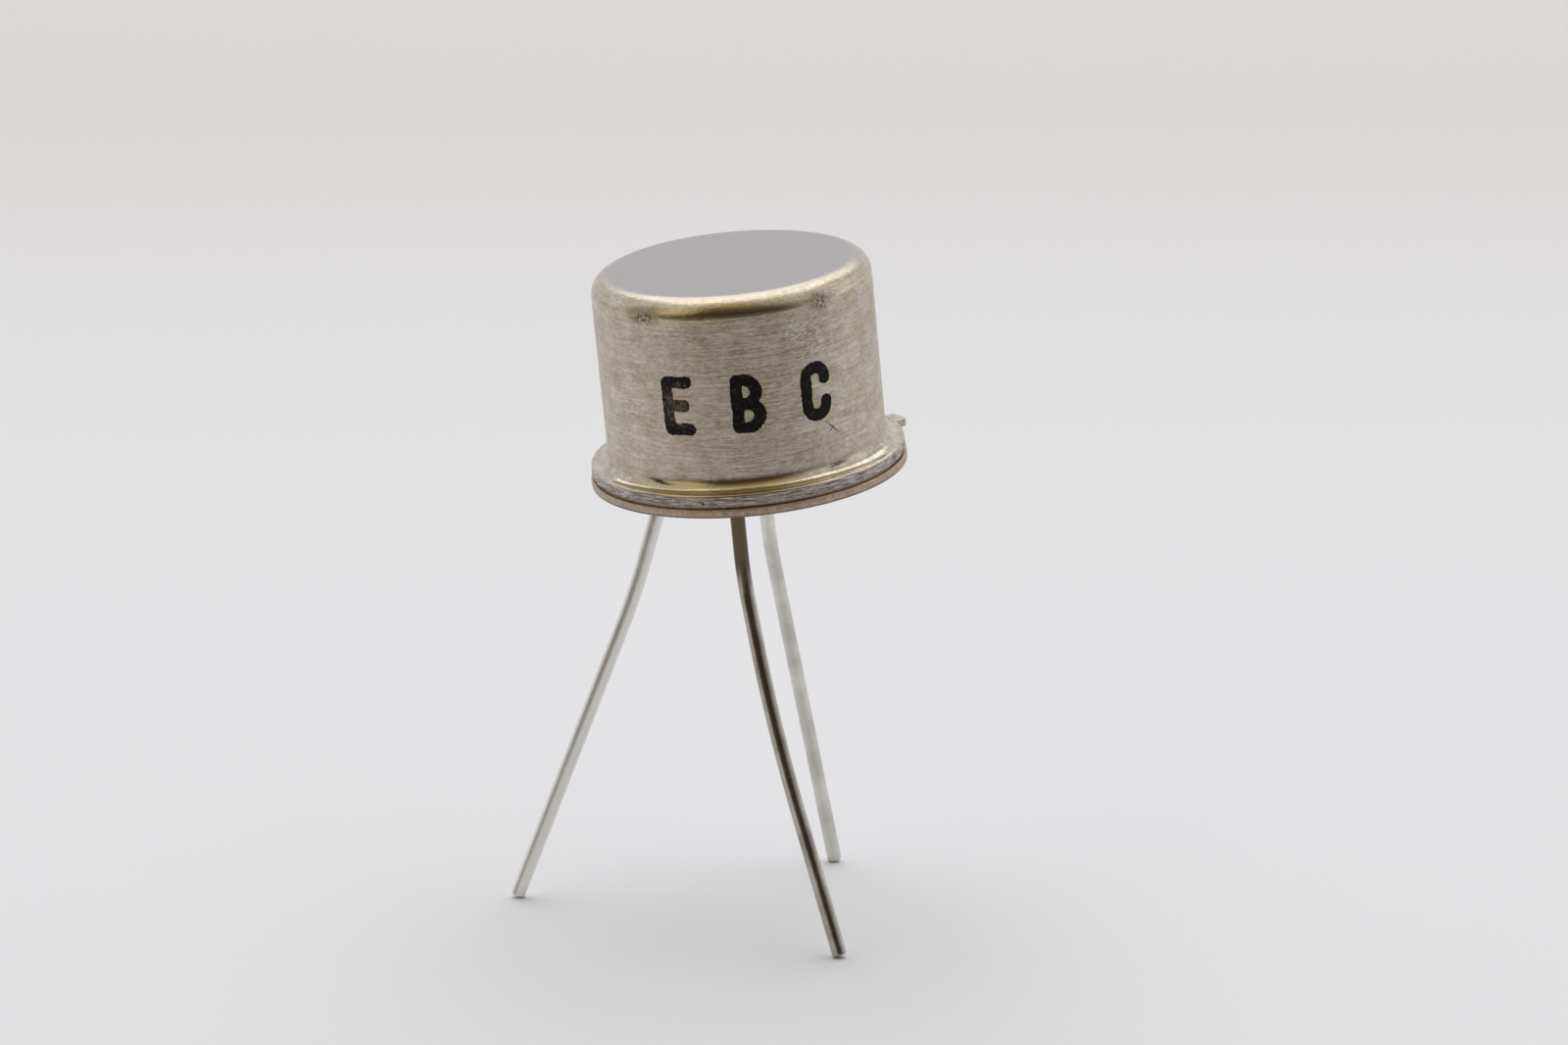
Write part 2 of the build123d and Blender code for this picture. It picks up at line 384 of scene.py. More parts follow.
drill_top = platform_height + drill_overrun
drill_corners = [
    (0, -drill_overrun, 0),
    (seal_r, -drill_overrun, 0),
    (seal_r, drill_top, 0),
    (0, drill_top, 0),
]
tools = []
for angle in (emitter_angle, base_angle):
    drill = turned("drill", drill_corners, header_finish, seal_centre(angle), segments=seal_segments)
    tools.append((drill, "DIFFERENCE"))
tools.append((tab, "UNION"))
for tool, operation in tools:
    cut = header.modifiers.new("cut", "BOOLEAN")
    cut.object = tool
    cut.operation = operation
    cut.solver = "EXACT"
made_plain(header)
for tool, _ in tools:
    bpy.data.objects.remove(tool)
header.data.transform(can_place)
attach(header, "root")
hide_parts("header")

# Two glass seals are melted into the header's holes round their leads. The glass is bottle green,
# hard and glossy, it wets the wire and the steel, and so its faces are dished.
lead_r = mounts["base_lead_tip"]["dims"]["r_mm"]
seal_dip = 0.06
dish_steps = 12
ring_waver = 0.25


def set_stops(ramp, first, *later):
    """Gives a colour ramp its first colour at 0, and each later one at its own place."""
    ramp.elements.remove(ramp.elements[1])
    ramp.elements[0].color = linear(first)
    for at, colour in later:
        ramp.elements.new(at).color = linear(colour)


def sealing_glass(name, centre):
    """Green sealing glass. It gives dark wet reflections, a darker rim and a paler ring inside it."""
    material, tree = new_material(name)
    place = can_millimetres(tree)
    radius = reach_from(tree, place, (*centre, 0))
    uneven = add_node(tree, "ShaderNodeTexNoise", {"Vector": place, "Scale": 4, "Detail": 4})
    wavering = {0: uneven, 1: ring_waver, 2: radius}
    shifted = add_node(tree, "ShaderNodeMath", wavering, operation="MULTIPLY_ADD")
    rings = add_node(tree, "ShaderNodeValToRGB", {"Fac": shifted})
    set_stops(rings.color_ramp, "#000000", (0.30, "#1E2B14"), (0.48, "#33502A"), (0.62, "#4C6E3B"),
              (0.74, "#35552B"), (0.86, "#182510"))
    bubbles = add_node(tree, "ShaderNodeTexNoise", {"Vector": place, "Scale": 12, "Detail": 2})
    surface = {"Base Color": rings, "Roughness": 0.12, "IOR": 1.52, "Coat Weight": 0.5}
    end_material(tree, surface, (bubbles, 0.4, 0.01))
    return material


dished = []
for step in range(dish_steps + 1):
    across = step / dish_steps
    dished.append((lead_r + (seal_r - lead_r) * across, seal_dip * sin(radians(180 * across))))
seal_section = [(r, dip, 0) for r, dip in dished]
seal_section += [(r, platform_height - dip, 0) for r, dip in reversed(dished)]
seal_section.append((lead_r, 0, 0))
for node, angle in (("emitter_seal", emitter_angle), ("base_seal", base_angle)):
    glass = sealing_glass(node + "_green_glass", seal_centre(angle))
    seal = turned(node + "_glass", seal_section, glass, seal_centre(angle), segments=seal_segments)
    seal.data.transform(can_place)
    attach(seal, "root")
    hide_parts(node)

# The three leads are drawn nickel-iron wire, plated and then hand bent, so they splay. Two pass
# through the seals and end inside in flat nail heads, and the third is butt-welded under the
# header with a small collar of squeezed metal.
tip_bevel = 0.05
post_top_z = platform_height + 0.85
head_r = 0.39
head_thickness = 0.14
head_bevel = 0.04
head_step = 0.01
collar = 0.13
first_bend_share = 0.2
wire_sides = 40
wire_bend_steps = 24
die_line_size = (0.05, 0.05, 1.4)
uneven_tarnish = 0.18
heat_fade = 0.9

# A lead leaves the can straight for its stub, bends, and bends again at a share of its way to the
# ground, bowed aside there. Heat browned it above a place so far below the seat, which lies inside
# the can where it is under 0. Lengths and bends are in millimetres.
lead_routes = {
    "emitter_lead": {
        "angle": emitter_angle, "stub": 0.34, "bend_at": 0.15, "bow": -0.326, "bends": (3.0, 16.0),
        "tarnish": 0.20, "polish": 0.30, "browned": -2.0,
    },
    "base_lead": {
        "angle": base_angle, "stub": 0.34, "bend_at": 0.26, "bow": 0.268, "bends": (1.6, 21.5),
        "tarnish": -0.18, "polish": 0.28, "browned": -2.0,
    },
    "collector_lead": {
        "angle": collector_angle, "stub": 2.40, "bend_at": 0.39, "bow": -0.253, "bends": (4.5, 60.0),
        "tarnish": 0.60, "polish": 0.19, "browned": 2.0,
    },
}


def wire_tree():
    """A drawn wire: a path rounded at its bends and swept with the wire's own thickness."""
    sockets = {"Sides": "Int", "Steps": "Int", "Material": "Material"}
    tree, source, output = new_tree("bent_wire", **sockets)
    path = rounded_curve(tree, source, source.outputs["Steps"])
    thick = add_node(tree, "GeometryNodeInputNamedAttribute", {"Name": "thick"}, data_type="FLOAT")
    ring = {"Resolution": source.outputs["Sides"], "Radius": 1.0}
    section = add_node(tree, "GeometryNodeCurvePrimitiveCircle", ring).outputs["Curve"]
    sweep = {"Curve": path, "Profile Curve": section, "Scale": thick, "Fill Caps": True}
    wire = add_node(tree, "GeometryNodeCurveToMesh", sweep)
    seam = {"Geometry": wire, "Distance": merge_distance}
    end_tree(tree, add_node(tree, "GeometryNodeMergeByDistance", seam), source, output)
    return tree


def bend_radius(wanted, before, corner, after, room_before, room_after):
    """The wanted bend, or the largest one that the straight runs beside it have room for."""
    turn = (corner - before).angle(after - corner)
    return min(wanted, min(room_before, room_after) / tan(turn / 2))


def plated_wire(name, tarnish, polish, browned):
    """Plated nickel-iron wire. It gives thin bright edges, a dark core and die lines along it."""
    material, tree = new_material(name)
    place = can_millimetres(tree)
    clouds = {"Vector": place, "Scale": 1.1, "Detail": 5, "Roughness": 0.6}
    cloud = add_node(tree, "ShaderNodeTexNoise", clouds)
    cloudy = {"Value": cloud, "From Min": 0.30, "From Max": 0.70,
              "To Min": tarnish - uneven_tarnish, "To Max": tarnish + uneven_tarnish}
    dull = add_node(tree, "ShaderNodeMapRange", cloudy)

    # The weld's heat browned the third wire below the header, and the others only inside the can
    height = add_node(tree, "ShaderNodeSeparateXYZ", {"Vector": place}).outputs["Z"]
    hot = {"Value": height, "From Min": -browned - heat_fade, "From Max": -browned}
    heat = add_node(tree, "ShaderNodeMapRange", hot, interpolation_type="SMOOTHSTEP")
    colour = tinted(tree, linear("#E4E2DC"), (dull, "#7A6D5A"), (heat, "#5E5443"))

    # Die lines run along the wire, and soft knocks from handling lie over them
    polished = {"Value": cloud, "To Min": polish * 0.8, "To Max": polish * 1.3}
    rough = add_node(tree, "ShaderNodeMapRange", polished)
    along = {"Vector": can_millimetres(tree, die_line_size), "Scale": 1, "Detail": 3}
    drawn = add_node(tree, "ShaderNodeTexNoise", along)
    knocks = add_node(tree, "ShaderNodeTexNoise", {"Vector": place, "Scale": 2.6, "Detail": 3})
    surface = {"Base Color": colour, "Metallic": 1.0, "Roughness": rough}
    end_material(tree, surface, (drawn, 0.3, 0.004), (knocks, 0.3, 0.02))
    return material


bent_wire = wire_tree()
collar_profile = [(0, lead_r + collar), (collar, lead_r)]
nail_profile = [
    (0, head_r - head_bevel),
    (head_bevel, head_r),
    (head_thickness - head_bevel, head_r),
    (head_thickness, head_r - head_bevel),
    (head_thickness + head_step, lead_r),
]
for node, route in lead_routes.items():
    tip = mounts[node + "_tip"]
    x, y = seal_centre(route["angle"])
    welded = node == "collector_lead"
    top = can_place @ Vector((x, y, 0.0 if welded else post_top_z)) / mm
    first = can_place @ Vector((x, y, -route["stub"])) / mm
    down = Vector(tip["axis"])
    ground = Vector(tip["pos_m"]) / mm + down * (tip["pos_m"][2] / mm / -down.z)
    second = first + (ground - first) * route["bend_at"] + Vector((route["bow"], 0, 0))
    slant = sqrt(1 - down.z ** 2)
    end = ground - down * ((lead_r - tip_bevel) * slant / -down.z)

    middle_run = (second - first).length
    first_room = middle_run * first_bend_share
    second_room = min(middle_run - first_room, (end - second).length / 2)
    bends = [
        bend_radius(route["bends"][0], top, first, second, route["stub"], first_room),
        bend_radius(route["bends"][1], first, second, end, second_room, second_room),
    ]
    start = collar_profile if welded else nail_profile
    inward = (first - top).normalized()
    path = [top + inward * depth for depth, _ in start] + [first, second, end - down * tip_bevel, end]
    thick = [radius for _, radius in start] + [lead_r, lead_r, lead_r, lead_r - tip_bevel]
    lead = wire_object(node + "_wire", path, round=[0] * len(start) + bends + [0, 0], thick=thick)
    plating = plated_wire(node + "_plated_wire", route["tarnish"], route["polish"], route["browned"])
    grown(lead, bent_wire, Sides=wire_sides, Steps=wire_bend_steps, Material=plating)
    lead.data.transform(Matrix.Scale(mm, 4))
    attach(lead, "root")
    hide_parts(node)

# The chip is sawn from a silicon wafer and stands on a thin pad of gold solder, and two aluminium
# wires join it to the nail heads. The closed can hides them.
inner_finishes = {
    "polished_silicon": {
        "colours": ("#4A4C55", "#5E6068"), "metallic": 0.0, "roughness": 0.10, "grain": 0.30,
        "pieces": ("die",),
    },
    "gold_solder": {
        "colours": ("#D9A950", "#B98A3C"), "metallic": 1.0, "roughness": 0.28, "grain": 0.15,
        "pieces": ("die_solder",),
    },
    "drawn_aluminium_wire": {
        "colours": ("#DADBDC", "#C2C3C5"), "metallic": 1.0, "roughness": 0.20, "grain": 0.08,
        "pieces": ("emitter_bond_wire", "base_bond_wire"),
    },
}


def inner_finish(name, look):
    """A clean, uneven finish for a small inner piece, mottled at the size of its own grain."""
    material, tree = new_material(name)
    mottling = {"Vector": can_millimetres(tree), "Scale": 1 / look["grain"], "Detail": 4}
    cloud = add_node(tree, "ShaderNodeTexNoise", mottling)
    colour = tinted(tree, linear(look["colours"][0]), (cloud, look["colours"][1]))
    uneven = {"Value": cloud, "To Min": look["roughness"], "To Max": look["roughness"] * 1.6}
    rough = add_node(tree, "ShaderNodeMapRange", uneven)
    surface = {"Base Color": colour, "Metallic": look["metallic"], "Roughness": rough}
    end_material(tree, surface, (cloud, 0.3, 0.01 * look["grain"]))
    return material


for name, look in inner_finishes.items():
    finish = inner_finish(name, look)
    for node in look["pieces"]:
        frame["nodes"][node].data.materials.clear()
        frame["nodes"][node].data.materials.append(finish)

# The cap is one nickel shell, deep drawn from strip and trimmed by a shear. Its wall keeps fine
# marks round it, its rounds are burnished, and its flange ends in a torn grey edge.
cap_segments = 960
cap_round_steps = 14
cap_top_round = 0.58
shoulder_z = can_height - cap_top_round
flange_edge_round = 0.06
flange_flat = 0.065
cap_root_round = cap_flange_width - flange_flat - flange_edge_round
flange_top_z = cap_foot_z + cap_sheet
torn_top_z = flange_top_z - flange_edge_round
torn_rows = 8
torn_depth = 0.15
torn_step = 0.02
nick_angle = radians(262.5)
nick_reach = 0.13
nick_depth = 0.07
top_edge_r = cap_r - 0.2
top_inner_r = cap_r - 0.6
top_from_z = can_height - 0.2
marks_size = (1.3, 1.3, 0.08)
grain_size = (0.16, 0.16, 0.08)
tears_size = (0.40, 0.40, 0.045)
ripple_size = (0.15, 0.15, 0.05)
ripple_tilt = (0, radians(-14), radians(40))
grain_depth = 0.013
ripple_depth = 0.018
speck_depth = 0.03
tear_depth = 0.03
least_straw = 0.25
least_sparkle = 0.25
dark_reflection_strength = 0.45

# Soft oval spots on the wall: azimuth in degrees, height, half-length and half-width in
# millimetres, and a tilt in degrees
wall_spots = {
    "ripples": (311, 4.7, 1.25, 1.10),
    "shoulder_front_reflection": (268, shoulder_z, 4.4, 2.5),
    "flange_front_reflection": (268, flange_top_z, 4.2, 2.0),
    "left_dark_patch": (241, 5.74, 0.95, 0.40),
    "right_dark_patch": (318, 5.74, 0.70, 0.46),
    "long_scratch": (318.5, 2.0, 0.42, 0.035, 44),
    "short_scratch": (317.5, 1.95, 0.18, 0.030, -38),
    "ink_dot": (259.6, 4.01, 0.075, 0.075),
}


def wall_spot(tree, azimuth, height, along, across, tilt=0):
    """A soft oval mask on the can's wall, from its place and its half-lengths in millimetres."""
    angle = radians(azimuth)
    middle = (cap_r * cos(angle), cap_r * sin(angle), height)
    turned_by = (0, radians(tilt), angle - radians(270))
    oval = {"Vector": can_millimetres(tree), "Location": middle, "Rotation": turned_by,
            "Scale": (along, along, across)}
    local = add_node(tree, "ShaderNodeMapping", oval, vector_type="TEXTURE")
    reach = add_node(tree, "ShaderNodeVectorMath", {0: local}, operation="LENGTH").outputs["Value"]
    fade = {"Value": reach, "From Min": 1.0, "From Max": 0.1}
    return add_node(tree, "ShaderNodeMapRange", fade, interpolation_type="SMOOTHSTEP")


def drawn_nickel():
    """Deep-drawn nickel. It gives a warm satin wall, a smooth pale top darkened by painted shade, and
    bright rounds with painted reflections.
    """
    material, tree = new_material("drawn_nickel")
    place = can_millimetres(tree)
    height = add_node(tree, "ShaderNodeSeparateXYZ", {"Vector": place}).outputs["Z"]
    radius = reach_from(tree, place)
    spots = {name: wall_spot(tree, *spot) for name, spot in wall_spots.items()}

    # The top is smooth and neutral, painted a darker grey as shade, and the wall is warm and clouded with
    # brownish pink
    disc = {"Value": radius, "From Min": top_edge_r, "From Max": top_inner_r}
    inner = add_node(tree, "ShaderNodeMapRange", disc)
    high = add_node(tree, "ShaderNodeMath", {0: height, 1: top_from_z}, operation="GREATER_THAN")
    on_top = add_node(tree, "ShaderNodeMath", {0: inner, 1: high}, operation="MULTIPLY")
    clouds = {"Vector": place, "Scale": 1.7, "Detail": 6, "Roughness": 0.65}
    cloud = add_node(tree, "ShaderNodeTexNoise", clouds)
    clouded = add_node(tree, "ShaderNodeMapRange", {"Value": cloud, "From Min": 0.40, "From Max": 0.68})
    colour = tinted(tree, linear("#C9C1B1"), (clouded, "#B4A690"), (on_top, "#ABA7A5"))

    # Drawing marks run round the wall, a pebbled grain of a tenth of a millimetre lies over them,
    # and short tears run round the flange's cut edge
    noises = []
    for size, detail, roughness in ((marks_size, 5, 0.7), (grain_size, 3, 0.65), (tears_size, 4, 0.7)):
        noise = {"Vector": can_millimetres(tree, size), "Scale": 1, "Detail": detail}
        noise["Roughness"] = roughness
        noises.append(add_node(tree, "ShaderNodeTexNoise", noise))
    marks, grain, tears = noises
    texture = add_node(tree, "ShaderNodeMath", {0: marks, 1: grain}, operation="ADD")
    grained = {"Value": texture, "From Min": 0.74, "From Max": 1.26, "To Min": 0.68, "To Max": 1.26}
    bare = add_node(tree, "ShaderNodeMapRange", grained)
    shade = add_node(tree, "ShaderNodeMix", {"Factor": on_top, "A": bare, "B": 1.0}, data_type="FLOAT")

    # Short ripples of the drawn metal rise to the right above the mark
    tilted = {"Vector": place, "Rotation": ripple_tilt, "Scale": ripple_size}
    ripple_place = add_node(tree, "ShaderNodeMapping", tilted, vector_type="TEXTURE")
    rippling = {"Vector": ripple_place, "Scale": 1, "Detail": 3, "Roughness": 0.6}
    ripples = add_node(tree, "ShaderNodeTexNoise", rippling)
    waves = {"Value": ripples, "From Min": 0.38, "From Max": 0.62, "To Min": 0.60, "To Max": 1.28}
    waved = {"Factor": spots["ripples"], "A": 1.0, "B": add_node(tree, "ShaderNodeMapRange", waves)}
    ripple_shade = add_node(tree, "ShaderNodeMix", waved, data_type="FLOAT")
    shade = add_node(tree, "ShaderNodeMath", {0: shade, 1: ripple_shade}, operation="MULTIPLY")
    colour = add_node(tree, "ShaderNodeVectorMath", {0: colour, "Scale": shade}, operation="SCALE")

    # The worked rounds of the shoulder have a faint straw tint, and the fronts of the shoulder and the
    # flange a painted golden reflection
    upper = {"Value": height, "From Min": shoulder_z - 0.22, "From Max": shoulder_z + 0.05}
    on_shoulder = add_node(tree, "ShaderNodeMapRange", upper)
    below_top = add_node(tree, "ShaderNodeMath", {0: 1.0, 1: on_top}, operation="SUBTRACT")
    on_shoulder = add_node(tree, "ShaderNodeMath", {0: on_shoulder, 1: below_top}, operation="MULTIPLY")
    outer = {"Value": radius, "From Min": cap_r + 0.003, "From Max": cap_r + 0.04}
    on_flange = add_node(tree, "ShaderNodeMapRange", outer)
    worked = add_node(tree, "ShaderNodeMath", {0: on_shoulder, 1: on_flange}, operation="MAXIMUM")
    patches = {"Value": cloud, "From Min": 0.35, "From Max": 0.65, "To Min": 0.35, "To Max": 0.90}
    patchy = add_node(tree, "ShaderNodeMapRange", patches)
    # The straw is painted stronger on the shoulder's front, as a golden reflection
    in_front = {0: spots["shoulder_front_reflection"], 1: least_straw}
    straw_and_painted_reflection = add_node(tree, "ShaderNodeMath", in_front, operation="MAXIMUM")
    for factor in (patchy, on_shoulder):
        straw_and_painted_reflection = add_node(tree, "ShaderNodeMath", {0: straw_and_painted_reflection, 1: factor}, operation="MULTIPLY")
    # On the flange's front a golden reflection is painted over the colour
    front_of_flange = {0: on_flange, 1: spots["flange_front_reflection"]}
    painted_flange_reflection = add_node(tree, "ShaderNodeMath", front_of_flange, operation="MULTIPLY")

    # A painted dark reflection darkens the speckled grain at both ends of the shoulder
    speckles = {"Vector": place, "Scale": 10, "Detail": 4, "Roughness": 0.75}
    specks = add_node(tree, "ShaderNodeTexNoise", speckles)
    speckled = add_node(tree, "ShaderNodeMapRange", {"Value": specks, "From Min": 0.38, "From Max": 0.55})
    both_ends = {0: spots["left_dark_patch"], 1: spots["right_dark_patch"]}
    dark_patches = add_node(tree, "ShaderNodeMath", both_ends, operation="MAXIMUM")
    speckled_patches = add_node(tree, "ShaderNodeMath", {0: dark_patches, 1: speckled}, operation="MULTIPLY")
    painted_dark_reflection = add_node(tree, "ShaderNodeMath", {0: speckled_patches, 1: dark_reflection_strength}, operation="MULTIPLY")

    # Two dark scratches cross at the lower right, and a dot of ink lies above the mark
    marred = spots["long_scratch"]
    for flaw in ("short_scratch", "ink_dot"):
        marred = add_node(tree, "ShaderNodeMath", {0: marred, 1: spots[flaw]}, operation="MAXIMUM")
    # The straw and flange tints carry painted golden reflections, and the dark tint at the shoulder's
    # ends is a painted dark reflection
    colour = tinted(tree, colour, (straw_and_painted_reflection, "#CBBB93"), (painted_flange_reflection, "#B9A87F"), (painted_dark_reflection, "#34332F"),
                    (marred, "#2B2722"))

    # Below the flange's round the shear tore the metal, which is grey and rough
    rim = {"Value": radius, "From Min": cap_flange_r - 0.06, "From Max": cap_flange_r - 0.03}
    at_rim = add_node(tree, "ShaderNodeMapRange", rim)
    under = {"Value": height, "From Min": torn_top_z + 0.015, "From Max": torn_top_z - 0.01}
    below_round = add_node(tree, "ShaderNodeMapRange", under)
    cut = add_node(tree, "ShaderNodeMath", {0: at_rim, 1: below_round}, operation="MULTIPLY")
    torn = add_node(tree, "ShaderNodeMapRange", {"Value": tears, "From Min": 0.35, "From Max": 0.65})
    grey = tinted(tree, linear("#544C44"), (torn, "#DCD5CB"))
    edged = {"Factor": cut, "A": colour, "B": grey}
    colour = add_node(tree, "ShaderNodeMix", edged, data_type="RGBA")

    # The wall is satin, the rounds and the top are smoother, and the speckled patches and the torn edge
    # are dull
    satin = {"Value": texture, "From Min": 0.7, "From Max": 1.3, "To Min": 0.28, "To Max": 0.46}
    rough = add_node(tree, "ShaderNodeMapRange", satin)
    for mask, polish in ((worked, 0.16), (on_flange, 0.12), (on_top, 0.25)):
        burnished = {"Factor": mask, "A": rough, "B": polish}
        rough = add_node(tree, "ShaderNodeMix", burnished, data_type="FLOAT")
    rough = add_node(tree, "ShaderNodeMath", {0: rough, 1: speckled_patches}, operation="MAXIMUM")
    rough = add_node(tree, "ShaderNodeMix", {"Factor": cut, "A": rough, "B": 0.45}, data_type="FLOAT")

    some = add_node(tree, "ShaderNodeMath", {0: on_shoulder, 1: least_sparkle}, operation="MULTIPLY")
    sparkling = add_node(tree, "ShaderNodeMath", {0: some, 1: dark_patches}, operation="MAXIMUM")
    relief = add_node(tree, "ShaderNodeMapRange", {"Value": worked, "To Min": 0.8, "To Max": 0.3})
    surface = {"Base Color": colour, "Metallic": 1.0, "Roughness": rough}
    end_material(tree, surface, (texture, relief, grain_depth), (ripples, spots["ripples"], ripple_depth),
                 (specks, sparkling, speck_depth), (tears, cut, tear_depth))
    return material


torn_edge = []
for row in range(torn_rows + 1):
    fallen = row / torn_rows
    groove = torn_step * (1 - fallen) if row else 0
    torn_z = torn_top_z + (cap_foot_z - torn_top_z) * fallen
    torn_edge.append((cap_flange_r - groove, torn_z, 0, torn_depth * fallen))
cap = turned("can_cap", [
    (0, can_height, 0),
    (cap_r - 2 * cap_top_round, can_height, 0),
    (cap_r, can_height, cap_top_round),
    (cap_r, flange_top_z, cap_root_round),
    (cap_flange_r, flange_top_z, flange_edge_round),
    *torn_edge,
    (cap_flange_r - 0.06, cap_foot_z, 0),
    (bore_r, cap_foot_z, cap_root_round + cap_sheet),
    (bore_r, can_height - cap_sheet, cap_top_round - cap_sheet),
    (0, can_height - cap_sheet, 0),
], drawn_nickel(), steps=cap_round_steps, segments=cap_segments)
nick = Vector((cap_flange_r * cos(nick_angle), cap_flange_r * sin(nick_angle), cap_foot_z))
for vertex in cap.data.vertices:
    close = max(0, 1 - (vertex.co - nick).length / nick_reach)
    vertex.co += Vector((-nick.x / cap_flange_r, -nick.y / cap_flange_r, 1)) * close * nick_depth
cap.data.transform(can_place)
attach(cap, "root")
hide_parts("cap")

# The mark on the wall is stamped in dark baking ink with a rubber stamp, so its strokes have round
# ends, ragged edges and thin places. It names the electrodes: emitter, base and collector.
stroke_half = 0.185
stroke_corner_steps = 10
glyph_height = 1.39
glyph_width = 0.62
glyph_pitch = 2.06
mark_middle_z = 3.18
mark_azimuth = 283
mark_length = 2 * glyph_pitch + glyph_width + 3 * stroke_half
mark_height = glyph_height + 3 * stroke_half
faint_spot = (mark_azimuth - 29, mark_middle_z, 0.9, 1.1)
ink_thickness = 0.012
ink_cell = 0.014
ink_fade = 0.12
bowl = glyph_height / 4
glyphs = {
    "E": [
        [(1, 1, 0), (0, 1, 0.06), (0, 0, 0.06), (1, 0, 0)],
        [(0, 0.5, 0), (0.8, 0.5, 0)],
    ],
    "B": [
        [(0, 0.5, 0), (0, 1, 0.05), (0.9, 1, bowl), (0.9, 0.5, bowl), (0, 0.5, 0)],
        [(0, 0.5, 0), (1, 0.5, bowl), (1, 0, bowl), (0, 0, 0.05), (0, 0.5, 0)],
    ],
    "C": [
        [(1, 0.74, 0), (1, 1, 0.3), (0, 1, 0.3), (0, 0, 0.3), (1, 0, 0.3), (1, 0.26, 0)],
    ],
}


def stamping_ink():
    """Brown-black stamping ink. It gives a dull film with nickel showing through where it is thin."""
    material, tree = new_material("stamping_ink")
    flecks = {"Vector": can_millimetres(tree), "Scale": 10, "Detail": 5, "Roughness": 0.85}
    film = add_node(tree, "ShaderNodeTexNoise", flecks)
    faint = {"Value": wall_spot(tree, *faint_spot), "To Min": 0.57, "To Max": 0.42}
    bare_from = add_node(tree, "ShaderNodeMapRange", faint)
    bare_to = add_node(tree, "ShaderNodeMath", {0: bare_from, 1: ink_fade}, operation="ADD")
    thinned = {"Value": film, "From Min": bare_from, "From Max": bare_to, "To Max": 0.75}
    thin = add_node(tree, "ShaderNodeMapRange", thinned)
    colour = tinted(tree, linear("#0E0906"), (thin, "#75685A"))
    metal = add_node(tree, "ShaderNodeMath", {0: thin, 1: 0.8}, operation="MULTIPLY")
    surface = {"Base Color": colour, "Metallic": metal, "Roughness": 0.5, "Specular IOR Level": 0.15}
    end_material(tree, surface, (film, 0.6, ink_thickness))
    return material


def stamp_tree():
    """A stamped film: the part of a fine sheet that lies within half a stroke of the letters' lines."""
    sockets = dict.fromkeys(("Length", "Height", "Cell", "Half_Stroke", "Thickness"), "Float")
    tree, source, output = new_tree("stamped_film", **sockets, Material="Material")
    lines = rounded_curve(tree, source, stroke_corner_steps)
    strokes = add_node(tree, "GeometryNodeCurveToMesh", {"Curve": lines})

    cells = []
    for side in ("Length", "Height"):
        count = {0: source.outputs[side], 1: source.outputs["Cell"]}
        cells.append(add_node(tree, "ShaderNodeMath", count, operation="DIVIDE"))
    grid = {"Size X": source.outputs["Length"], "Size Y": source.outputs["Height"],
            "Vertices X": cells[0], "Vertices Y": cells[1]}
    sheet = add_node(tree, "GeometryNodeMeshGrid", grid).outputs["Mesh"]
    nearest = add_node(tree, "GeometryNodeProximity", {0: strokes}, target_element="EDGES")

    # The stroke's half-width wavers, slowly with the rubber and quickly with the metal's grain
    slow = add_node(tree, "ShaderNodeTexNoise", {"Scale": 2.5, "Detail": 1})
    quick = add_node(tree, "ShaderNodeTexNoise", {"Scale": 14, "Detail": 3})
    waver = add_node(tree, "ShaderNodeMath", {0: slow, 1: quick}, operation="ADD")
    wavering = {"Value": waver, "From Max": 2.0, "To Min": 0.60, "To Max": 1.40}
    share = add_node(tree, "ShaderNodeMapRange", wavering)
    limit = {0: source.outputs["Half_Stroke"], 1: share}
    edge = add_node(tree, "ShaderNodeMath", limit, operation="MULTIPLY")
    beyond = {0: nearest.outputs["Distance"], 1: edge}
    outside = add_node(tree, "ShaderNodeMath", beyond, operation="GREATER_THAN")
    rest = {"Geometry": sheet, "Selection": outside}
    film = add_node(tree, "GeometryNodeDeleteGeometry", rest, domain="POINT")
    end_tree(tree, thickened(tree, film, source.outputs["Thickness"]), source, output)
    return tree


stroke_points = []
stroke_rounds = []
stroke_starts = []
for column, glyph in enumerate(glyphs.values()):
    glyph_left = (column - 1) * glyph_pitch - glyph_width / 2
    for stroke in glyph:
        stroke_starts.append(len(stroke_points))
        for x, y, rounding in stroke:
            stroke_points.append((glyph_left + x * glyph_width, (y - 0.5) * glyph_height, 0))
            stroke_rounds.append(rounding)
mark = wire_object("stamped_mark", stroke_points, starts=stroke_starts, round=stroke_rounds)
grown(mark, stamp_tree(), Length=mark_length, Height=mark_height, Cell=ink_cell,
      Half_Stroke=stroke_half, Thickness=ink_thickness, Material=stamping_ink())
for vertex in mark.data.vertices:
    along, up, lift = vertex.co
    turn = radians(mark_azimuth) + along / cap_r
    out = cap_r + lift - ink_thickness / 4
    vertex.co = (out * cos(turn), out * sin(turn), mark_middle_z + up)
mark.data.transform(can_place)
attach(mark, "root")

# The stage is a wide sheet of matt white paper under soft studio light. Painted shade makes it a little
# greyer further off, and the object's shadow falls on it.
floor_half = 2.5
paper_white_y = 0.03
paper_grey_y = 0.13


